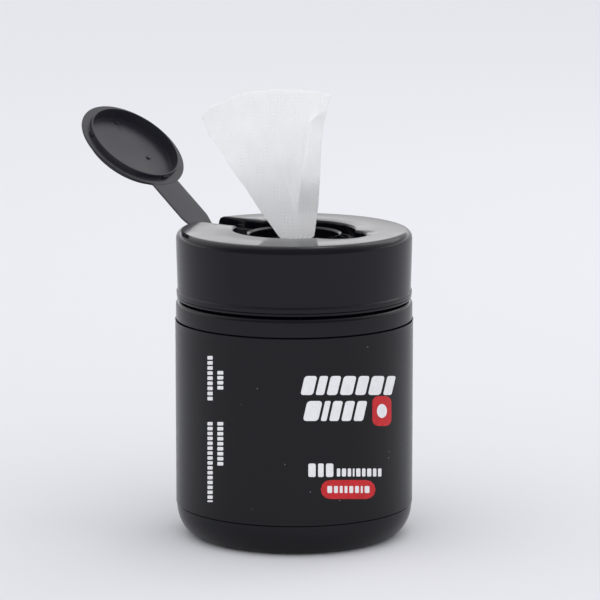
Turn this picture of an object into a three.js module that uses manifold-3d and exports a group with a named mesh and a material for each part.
// Canister of wet wipes: a blow-moulded body with a printed sleeve, a screw lid whose flip cap
// stands open, the roll of wipes inside, and the next wipe pulled up through the lid.
// Millimetres, +Z up, origin at the centre of the base.
import * as THREE from "three";
import { mergeVertices } from "three/addons/utils/BufferGeometryUtils.js";
import { ParametricGeometry } from "three/addons/geometries/ParametricGeometry.js";
import Module from "manifold-3d";

const wasm = await Module();
wasm.setup();

// Gap between two pieces that touch, and facets of the round walls
const seatGap = 0.3;
const roundSegments = 60;
const ringSegments = 44;
const arcSteps = 4;

// Canister body
const bodyRadius = 47.45;
const bodyTop = 95.5;
const bodyWall = 1.3;
const baseRoundWidth = 9.6;
const baseRoundHeight = 12.8;
const footRingInnerRadius = 30;
const centrePadRadius = 12;
const baseHollow = 0.8;
const shoulderRound = 2.2;
const neckWall = 1.5;
const neckHeight = 18;

// Printed sleeve, in a shallow panel of the body
const sleeveBottom = 13.3;
const sleeveHeight = 74.4;
const sleeveThickness = 0.3;
const panelDepth = 0.3;

// Roll of wipes
const rollHeight = 84;
const rollLooseness = 3.6;
const rollCoreRadius = 8;
const turnCount = 9;
const turnRelief = 0.6;

// Lid: skirt, top and the wall that they share
const lidHeight = 28.1;
const lidInset = 0.15;
const skirtWaist = 0.45;
const skirtWall = 1.55;
const topWall = 1.6;
const lidShoulderWidth = 3;
const lidShoulderHeight = 3.3;
const crownDrop = 0.12;
const crownStartRadius = 35;
const lowerBandHeight = 3.6;
const lowerRound = 1.3;
const bandGroove = 0.3;
const threadRoom = 1.3;
const stopRingWall = 1.2;

// Cap recess in the lid's top
const capRadius = 23.6;
const capClearance = 0.8;
const recessEdgeRound = 1;
const collarRadius = 18.9;
const collarWall = 1;
const grooveDepth = 5;
const mouldWall = 1.2;
const nozzleDepth = 7.5;
const nozzleHoleRadius = 5.8;
const slitCount = 6;
const slitWidth = 0.9;
const slitReach = 13;
const scoopRadius = 12.3;
const scoopOffset = 21;
const scoopDepth = 4.6;

// Flip cap, its strap and the hinge on the lid's rim
const hingeAzimuth = 141;
const hingeOverhang = 0.9;
const hingeKnuckleRadius = 0.55;
const channelDepth = 4.3;
const openAngle = 141.5;
const capThickness = 1;
const capInset = 0.3;
const capRimRound = 0.35;
const capTopRound = 0.8;
const plugWall = 1.1;
const plugHeight = 2;
const plugDraft = 0.4;
const plugEdgeRound = 0.2;
const lugCount = 3;
const lugWidth = 3.4;
const lugReach = 0.35;
const lugRise = 0.6;
const lugHeight = 1.1;
const strapWidth = 15.4;
const strapRootWidth = 12.6;
const strapTaper = 6;
const strapThickness = 0.9;

// The wipe that stands up out of the nozzle, and its tail in the roll's core
const wipeRise = 56.5;
const wipeThickness = 0.9;
const wipeTailLength = 50;
const wipeBundleRadius = 4.6;
const wipeTailRadius = 3.4;
const wipeSpread = 50;
const wipeFoldDepth = 10;
const wipeCornerDrop = 10;

// How far a cutting shape runs past the face that it opens
const cutPast = 5;

// Heights and radii that follow
const lidRadius = bodyRadius - lidInset;
const skirtInner = lidRadius - skirtWaist - skirtWall;
const neckRadius = skirtInner - threadRoom;
const lidBottom = bodyTop + seatGap;
const landHeight = lidBottom + lidHeight;
const neckTop = bodyTop + neckHeight;
const sleeveTop = sleeveBottom + sleeveHeight;
const sleeveRadius = bodyRadius - panelDepth + seatGap + sleeveThickness;
const panelRadius = bodyRadius - panelDepth;
const hollowRadius = panelRadius - bodyWall;
const floorHeight = baseHollow + bodyWall;
const innerRoundHeight = baseRoundHeight - floorHeight;
const rollBottom = floorHeight + seatGap;
const rollTop = rollBottom + rollHeight;
const rollRadius = hollowRadius - rollLooseness;
const recessRadius = capRadius + capClearance;
const plugInner = collarRadius + seatGap;
const plugOuter = plugInner + plugWall;
const grooveOuter = plugOuter + lugReach + seatGap;
const capTop = landHeight - capInset;
const capCeiling = capTop - capThickness;
const collarTop = capCeiling - seatGap;
const ledgeHeight = landHeight - channelDepth;
const grooveFloor = collarTop - grooveDepth;
const nozzleTop = landHeight - nozzleDepth;
const lidFloor = Math.min(grooveFloor, nozzleTop) - mouldWall;
const channelFloor = landHeight - channelDepth;
const channelWidth = strapWidth + 1.1;
const hingeRadius = lidRadius + hingeOverhang;
const hingeHeight = channelFloor + strapThickness / 2 + seatGap;

const degrees = (angle) => (angle * Math.PI) / 180;
const point = (x, y) => new THREE.Vector2(x, y);

// Points of an elliptical quarter round about (cx, cy), from one angle to another
function arc(cx, cy, width, height, from, to, steps = arcSteps) {
  return Array.from({ length: steps + 1 }, (_, i) => {
    const a = degrees(from + ((to - from) * i) / steps);
    return point(cx + width * Math.cos(a), cy + height * Math.sin(a));
  });
}

// A closed solid from any three.js geometry, without the triangles that collapse on an axis
function solidOf(geometry) {
  const flat = geometry.index ? geometry.toNonIndexed() : geometry;
  const bare = new THREE.BufferGeometry();
  bare.setAttribute("position", flat.getAttribute("position"));
  const merged = mergeVertices(bare, 1e-4);
  const corners = merged.index.array;
  const kept = [];
  for (let i = 0; i < corners.length; i += 3) {
    const [a, b, c] = corners.slice(i, i + 3);
    if (a !== b && b !== c && c !== a) kept.push(a, b, c);
  }
  return new wasm.Manifold(
    new wasm.Mesh({
      numProp: 3,
      vertProperties: merged.attributes.position.array,
      triVerts: new Uint32Array(kept),
    }),
  );
}

// The geometry of a finished solid
function geometryOf(solid) {
  const mesh = solid.getMesh();
  const geometry = new THREE.BufferGeometry();
  const positions = new THREE.BufferAttribute(new Float32Array(mesh.vertProperties), 3);
  geometry.setAttribute("position", positions);
  geometry.setIndex(new THREE.BufferAttribute(new Uint32Array(mesh.triVerts), 1));
  geometry.computeVertexNormals();
  return geometry;
}

// A section of radius and height turned about Z. A section off the axis closes on itself.
function turned(section, segments = roundSegments) {
  const loop = THREE.ShapeUtils.area(section) > 0 ? section : [...section].reverse();
  const onAxis = loop.some((p) => p.x === 0);
  const ordered = onAxis ? fromAxis(loop) : [...loop, loop[0].clone()];
  const geometry = new THREE.LatheGeometry(ordered, segments);
  return solidOf(geometry.rotateX(Math.PI / 2));
}

// The same loop, started at the axis point that follows the other one
function fromAxis(loop) {
  const start = loop.findIndex((p, i) => p.x === 0 && loop.at(i - 1).x === 0);
  return loop.map((_, i) => loop[(start + i) % loop.length]);
}

// An outline in X and Y raised from one height to another
function raised(outline, bottom, top) {
  const shape = new THREE.Shape(outline);
  const geometry = new THREE.ExtrudeGeometry(shape, { depth: top - bottom, bevelEnabled: false });
  return solidOf(geometry.translate(0, 0, bottom));
}

// An outline in X and Z drawn out along Y, half to each side
function drawnAcross(outline, width) {
  const shape = new THREE.Shape(outline.map((p) => point(p.x, p.y)));
  const geometry = new THREE.ExtrudeGeometry(shape, { depth: width, bevelEnabled: false });
  return solidOf(geometry.rotateX(Math.PI / 2).translate(0, width / 2, 0));
}

const rectangle = (x0, y0, x1, y1) => [point(x0, y0), point(x1, y0), point(x1, y1), point(x0, y1)];

function bodySection() {
  return [
    point(0, 0),
    point(centrePadRadius, 0),
    point(centrePadRadius + baseHollow, baseHollow),
    point(footRingInnerRadius - baseHollow, baseHollow),
    point(footRingInnerRadius, 0),
    ...arc(bodyRadius - baseRoundWidth, baseRoundHeight, baseRoundWidth, baseRoundHeight, -90, 0, 7),
    point(panelRadius, baseRoundHeight + panelDepth),
    point(panelRadius, sleeveTop + panelDepth),
    point(bodyRadius, sleeveTop + 2 * panelDepth),
    ...arc(bodyRadius - shoulderRound, bodyTop - shoulderRound, shoulderRound, shoulderRound, 0, 90),
    point(neckRadius, bodyTop),
    point(neckRadius, neckTop),
    point(neckRadius - neckWall, neckTop),
    point(neckRadius - neckWall, bodyTop - bodyWall),
    point(hollowRadius, bodyTop - bodyWall - 2 * shoulderRound),
    ...arc(hollowRadius - baseRoundWidth, baseRoundHeight, baseRoundWidth, innerRoundHeight, 0, -90, 5),
    point(0, floorHeight),
  ];
}

const makeBody = () => turned(bodySection());

// The sleeve's top edge stands a little off the body
function makeSleeve() {
  const inner = sleeveRadius - sleeveThickness;
  return turned([
    point(inner, sleeveBottom),
    point(sleeveRadius, sleeveBottom),
    point(sleeveRadius, sleeveTop - 1),
    point(sleeveRadius + 0.15, sleeveTop),
    point(inner + 0.15, sleeveTop),
    point(inner, sleeveTop - 1),
  ]);
}

// The turns of the roll show as rings on its top, and its foot takes the round of the body
function makeRoll() {
  const pitch = (rollRadius - rollCoreRadius) / turnCount;
  const top = [];
  for (let turn = 0; turn < turnCount; turn++) {
    const outer = rollRadius - turn * pitch;
    top.push(point(outer, rollTop - turnRelief));
    top.push(point(outer - pitch / 2, rollTop));
  }
  return turned(
    [
      point(rollCoreRadius, rollBottom),
      ...arc(
        rollRadius - baseRoundWidth,
        rollBottom + innerRoundHeight,
        baseRoundWidth,
        innerRoundHeight,
        -90,
        0,
      ),
      ...top,
      point(rollCoreRadius, rollTop - turnRelief),
    ],
    ringSegments,
  );
}

// The lid's outside, from its lower edge to the middle of its top
function lidOutside() {
  const bandRadius = lidRadius - bandGroove / 2;
  const bandTop = lidBottom + lowerBandHeight;
  const shoulderBottom = landHeight - crownDrop - lidShoulderHeight;
  return [
    ...arc(bandRadius - lowerRound, lidBottom + lowerRound, lowerRound, lowerRound, -90, 0),
    point(bandRadius - bandGroove, lidBottom + lowerRound + 0.15),
    point(bandRadius, lidBottom + lowerRound + 0.4),
    point(lidRadius, bandTop),
    point(lidRadius - skirtWaist, bandTop + skirtWaist),
    point(lidRadius - skirtWaist, bandTop + 4 * skirtWaist),
    point(lidRadius - 0.05, landHeight - 2.4 * lidShoulderHeight),
    ...arc(lidRadius - lidShoulderWidth, shoulderBottom, lidShoulderWidth, lidShoulderHeight, 0, 90, 6),
    point((lidRadius - lidShoulderWidth + crownStartRadius) / 2, landHeight - crownDrop / 4),
    point(crownStartRadius, landHeight),
  ];
}

// The recess for the cap: edge, ledge, groove for the plug ring, collar and nozzle
function lidRecess() {
  const edge = recessRadius + recessEdgeRound;
  return [
    ...arc(edge, landHeight - recessEdgeRound, recessEdgeRound, recessEdgeRound, 90, 180),
    point(recessRadius, ledgeHeight),
    point(grooveOuter, ledgeHeight),
    point(grooveOuter, grooveFloor),
    point(collarRadius, grooveFloor),
    point(collarRadius, collarTop - 0.2),
    point(collarRadius - 0.2, collarTop),
    point(collarRadius - collarWall + 0.2, collarTop),
    point(collarRadius - collarWall, collarTop - 0.2),
    point(collarRadius - collarWall, nozzleTop + mouldWall),
    point(collarRadius - collarWall - mouldWall, nozzleTop),
    point(nozzleHoleRadius, nozzleTop),
  ];
}

// The lid's underside, from the nozzle's hole to the inside of the skirt
function lidInside() {
  const underTop = landHeight - topWall;
  const ringBottom = neckTop + seatGap;
  return [
    point(nozzleHoleRadius, lidFloor),
    point(grooveOuter + mouldWall, lidFloor),
    point(grooveOuter + mouldWall, ledgeHeight - mouldWall),
    point(recessRadius + mouldWall, ledgeHeight - mouldWall),
    point(recessRadius + mouldWall, underTop),
    point(neckRadius - stopRingWall, underTop),
    point(neckRadius - stopRingWall, ringBottom),
    point(neckRadius, ringBottom),
    point(neckRadius, underTop),
    point(skirtInner, underTop),
    point(skirtInner, lidBottom),
  ];
}

// The strap's channel, out through the rim. Grown, it is the outside of the channel's wall.
function channelBlock(grow, outerEnd, top) {
  const half = channelWidth / 2 + grow;
  const bottom = channelFloor - grow;
  const section = [point(-half, top), point(-half, bottom), point(half, bottom), point(half, top)];
  const geometry = new THREE.ExtrudeGeometry(new THREE.Shape(section), {
    depth: outerEnd - grooveOuter - seatGap,
    bevelEnabled: false,
  });
  // The outline's X becomes Y, its Y becomes Z, and its depth runs along X
  geometry.rotateX(Math.PI / 2).rotateZ(Math.PI / 2);
  return solidOf(geometry.translate(grooveOuter + seatGap, 0, 0));
}

// The dish that lets a fingertip under the cap, on the side away from the hinge. It stops at
// a circle about the lid's axis, so that the collar stays whole.
function scoopDish(grow, top, innerRadius) {
  const bottom = landHeight - scoopDepth - grow;
  const dish = turned(
    [
      point(0, bottom),
      ...arc(scoopRadius + grow - 2, bottom + 2, 2, 2, -90, 0, 3),
      point(scoopRadius + grow, top),
      point(0, top),
    ],
    ringSegments,
  ).translate([-scoopOffset, 0, 0]);
  const inner = [point(0, 0), point(innerRadius, 0), point(innerRadius, 2 * top), point(0, 2 * top)];
  return dish.subtract(turned(inner));
}

// One slit of the nozzle's star, from its hole outwards
function nozzleSlit(index) {
  const outline = rectangle(nozzleHoleRadius - 1, -slitWidth / 2, slitReach, slitWidth / 2);
  return raised(outline, lidFloor - cutPast, nozzleTop + seatGap).rotate([0, 0, (360 * index) / slitCount + 30]);
}

function makeLid() {
  const halfWall = mouldWall / 2;
  const recessHalfWall = turned([
    point(0, ledgeHeight - halfWall),
    point(recessRadius + halfWall, ledgeHeight - halfWall),
    point(recessRadius + halfWall, landHeight),
    point(0, landHeight),
  ]);
  const channelWalls = channelBlock(mouldWall, skirtInner + seatGap, landHeight - topWall / 2);
  let lid = turned([...lidOutside(), ...lidRecess(), ...lidInside()]);
  lid = lid.add(channelWalls.subtract(recessHalfWall));
  lid = lid.add(scoopDish(mouldWall, landHeight - topWall / 2, recessRadius + halfWall));
  lid = lid.subtract(channelBlock(0, hingeRadius + cutPast, landHeight + cutPast));
  lid = lid.subtract(scoopDish(0, landHeight + cutPast, recessRadius - seatGap));
  for (let slit = 0; slit < slitCount; slit++) lid = lid.subtract(nozzleSlit(slit));
  return lid;
}

// The cap's raised middle, its flange and its plug ring, centred on the origin. The flange's
// middle plane is at zero.
function capDisc() {
  const rim = capRimRound;
  const half = strapThickness / 2;
  const top = capTop - hingeHeight;
  const tip = -half - plugHeight;
  const plugTip = plugInner + plugDraft;
  return turned(
    [
      point(0, top),
      point(plugOuter - capTopRound, top),
      point(plugOuter, top - capTopRound),
      point(plugOuter, half),
      point(capRadius - rim, half),
      point(capRadius, half - rim),
      point(capRadius, rim - half),
      point(capRadius - rim, -half),
      point(plugOuter, -half),
      point(plugOuter - plugEdgeRound / 2, tip + plugEdgeRound),
      point(plugOuter - plugEdgeRound, tip),
      point(plugTip + plugEdgeRound, tip),
      point(plugTip, tip + plugEdgeRound),
      point(plugInner, top - capThickness),
      point(0, top - capThickness),
    ],
    roundSegments,
  );
}

// A snap lug near the plug ring's edge, turned to its place
function snapLug(index) {
  const reach = plugOuter + lugReach;
  const outline = rectangle(plugOuter - plugWall / 2, -lugWidth / 2, reach, lugWidth / 2);
  const tip = -strapThickness / 2 - plugHeight;
  const lug = raised(outline, tip + lugRise, tip + lugRise + lugHeight);
  return lug.rotate([0, 0, (360 * index) / lugCount + 180 - 126]);
}

// The strap from the flange to the hinge, flat in the flange's plane, and the hinge's knuckle
function capStrap(length) {
  const inner = (capRadius + plugOuter) / 2 - length;
  const half = strapThickness / 2;
  const across = strapWidth / 2;
  const root = strapRootWidth / 2;
  const plan = [
    point(inner, -across),
    point(-strapTaper, -across),
    point(-hingeKnuckleRadius, -root),
    point(0, -root),
    point(0, root),
    point(-hingeKnuckleRadius, root),
    point(-strapTaper, across),
    point(inner, across),
  ];
  const knuckle = arc(0, 0, hingeKnuckleRadius, hingeKnuckleRadius, 0, 330, 11);
  return raised(plan, -half, half).add(drawnAcross(knuckle, strapRootWidth));
}

// The whole cap as closed, with the hinge axis at the origin
function makeCap() {
  let disc = capDisc();
  for (let lug = 0; lug < lugCount; lug++) disc = disc.add(snapLug(lug));
  return disc.translate([-hingeRadius, 0, 0]).add(capStrap(hingeRadius));
}

// Corners of the wipe's pleats at its top, left to right, as shares of its spread, of the
// depth of its folds, and of how far its left corner drops below the middle of the top edge
const pleats = [
  { across: -0.74, back: 0.7, rise: -1 },
  { across: -0.34, back: -0.3, rise: 0 },
  { across: -0.08, back: -0.7, rise: 0.1 },
  { across: 0.09, back: 0.3, rise: 0.1 },
  { across: 0.27, back: -0.4, rise: 0 },
];

// How the same corners gather in the nozzle, as shares of the bundle's radius
const bundle = [
  { across: -1, back: 0.35 },
  { across: -0.4, back: -0.35 },
  { across: 0.1, back: 0.3 },
  { across: 0.55, back: -0.3 },
  { across: 1, back: 0.4 },
];

const mix = (a, b, share) => a + (b - a) * share;

// A point on the wipe's middle surface: u runs across the pleats, height is above the nozzle
function wipeMiddle(u, height, target) {
  const place = Math.min(u, 0.9999) * (pleats.length - 1);
  const i = Math.floor(place);
  const share = place - i;
  const pleat = (key) => mix(pleats[i][key], pleats[i + 1][key], share);
  const gathered = (key) => mix(bundle[i][key], bundle[i + 1][key], share);
  const spread = Math.max(0, height / (wipeRise + nozzleDepth));
  const held = height < 0 ? wipeTailRadius : wipeBundleRadius;
  const opened = Math.pow(spread, 0.92);
  return target.set(
    mix(gathered("across") * held, pleat("across") * wipeSpread, opened),
    mix(gathered("back") * held, pleat("back") * wipeFoldDepth, opened),
    nozzleTop + height + pleat("rise") * wipeCornerDrop * spread * spread,
  );
}

// The wipe as one closed sheet: out over its front, back over its rear, thinned to its two ends
function makeWipe() {
  const low = -wipeTailLength;
  const high = wipeRise + nozzleDepth;
  const middle = new THREE.Vector3();
  const beside = new THREE.Vector3();
  const surface = (around, up, target) => {
    const front = around <= 0.5;
    const u = front ? 2 * around : 2 - 2 * around;
    const height = mix(low, high, up);
    wipeMiddle(u, height, middle);
    wipeMiddle(Math.max(0, u - 0.02), height, beside);
    const across = new THREE.Vector3();
    wipeMiddle(Math.min(1, u + 0.02), height, across).sub(beside);
    const normal = new THREE.Vector3(across.y, -across.x, 0).normalize();
    const atEdge = u < 1e-6 || u > 1 - 1e-6 || up < 1e-6 || up > 1 - 1e-6;
    const half = atEdge ? 0 : wipeThickness / 2;
    target.copy(middle).addScaledVector(normal, front ? half : -half);
  };
  return solidOf(new ParametricGeometry(surface, 32, 26));
}

// Each piece's look
const finish = {
  canister_body: { color: 0x1b1b1e, roughness: 0.28, metalness: 0 },
  label_sleeve: { color: 0x151517, roughness: 0.2, metalness: 0 },
  wipe_roll: { color: 0xf2f2f0, roughness: 0.9, metalness: 0 },
  dispenser_lid: { color: 0x1b1b1e, roughness: 0.22, metalness: 0 },
  flip_cap: { color: 0x2a2a2d, roughness: 0.4, metalness: 0 },
  leading_wipe: { color: 0xf4f4f3, roughness: 0.9, metalness: 0 },
};

function meshOf(name, solid) {
  const mesh = new THREE.Mesh(geometryOf(solid), new THREE.MeshStandardMaterial(finish[name]));
  mesh.name = name;
  return mesh;
}

function assemble() {
  const canister = new THREE.Group();
  canister.add(meshOf("canister_body", makeBody()));
  canister.add(meshOf("label_sleeve", makeSleeve()));
  canister.add(meshOf("wipe_roll", makeRoll()));
  canister.add(meshOf("leading_wipe", makeWipe()));

  const lidFrame = new THREE.Group();
  lidFrame.rotation.z = degrees(hingeAzimuth);
  lidFrame.add(meshOf("dispenser_lid", makeLid()));
  canister.add(lidFrame);

  const hinge = new THREE.Group();
  hinge.position.set(hingeRadius, 0, hingeHeight);
  hinge.rotation.y = degrees(openAngle);
  hinge.add(meshOf("flip_cap", makeCap()));
  lidFrame.add(hinge);
  return canister;
}

export default assemble();
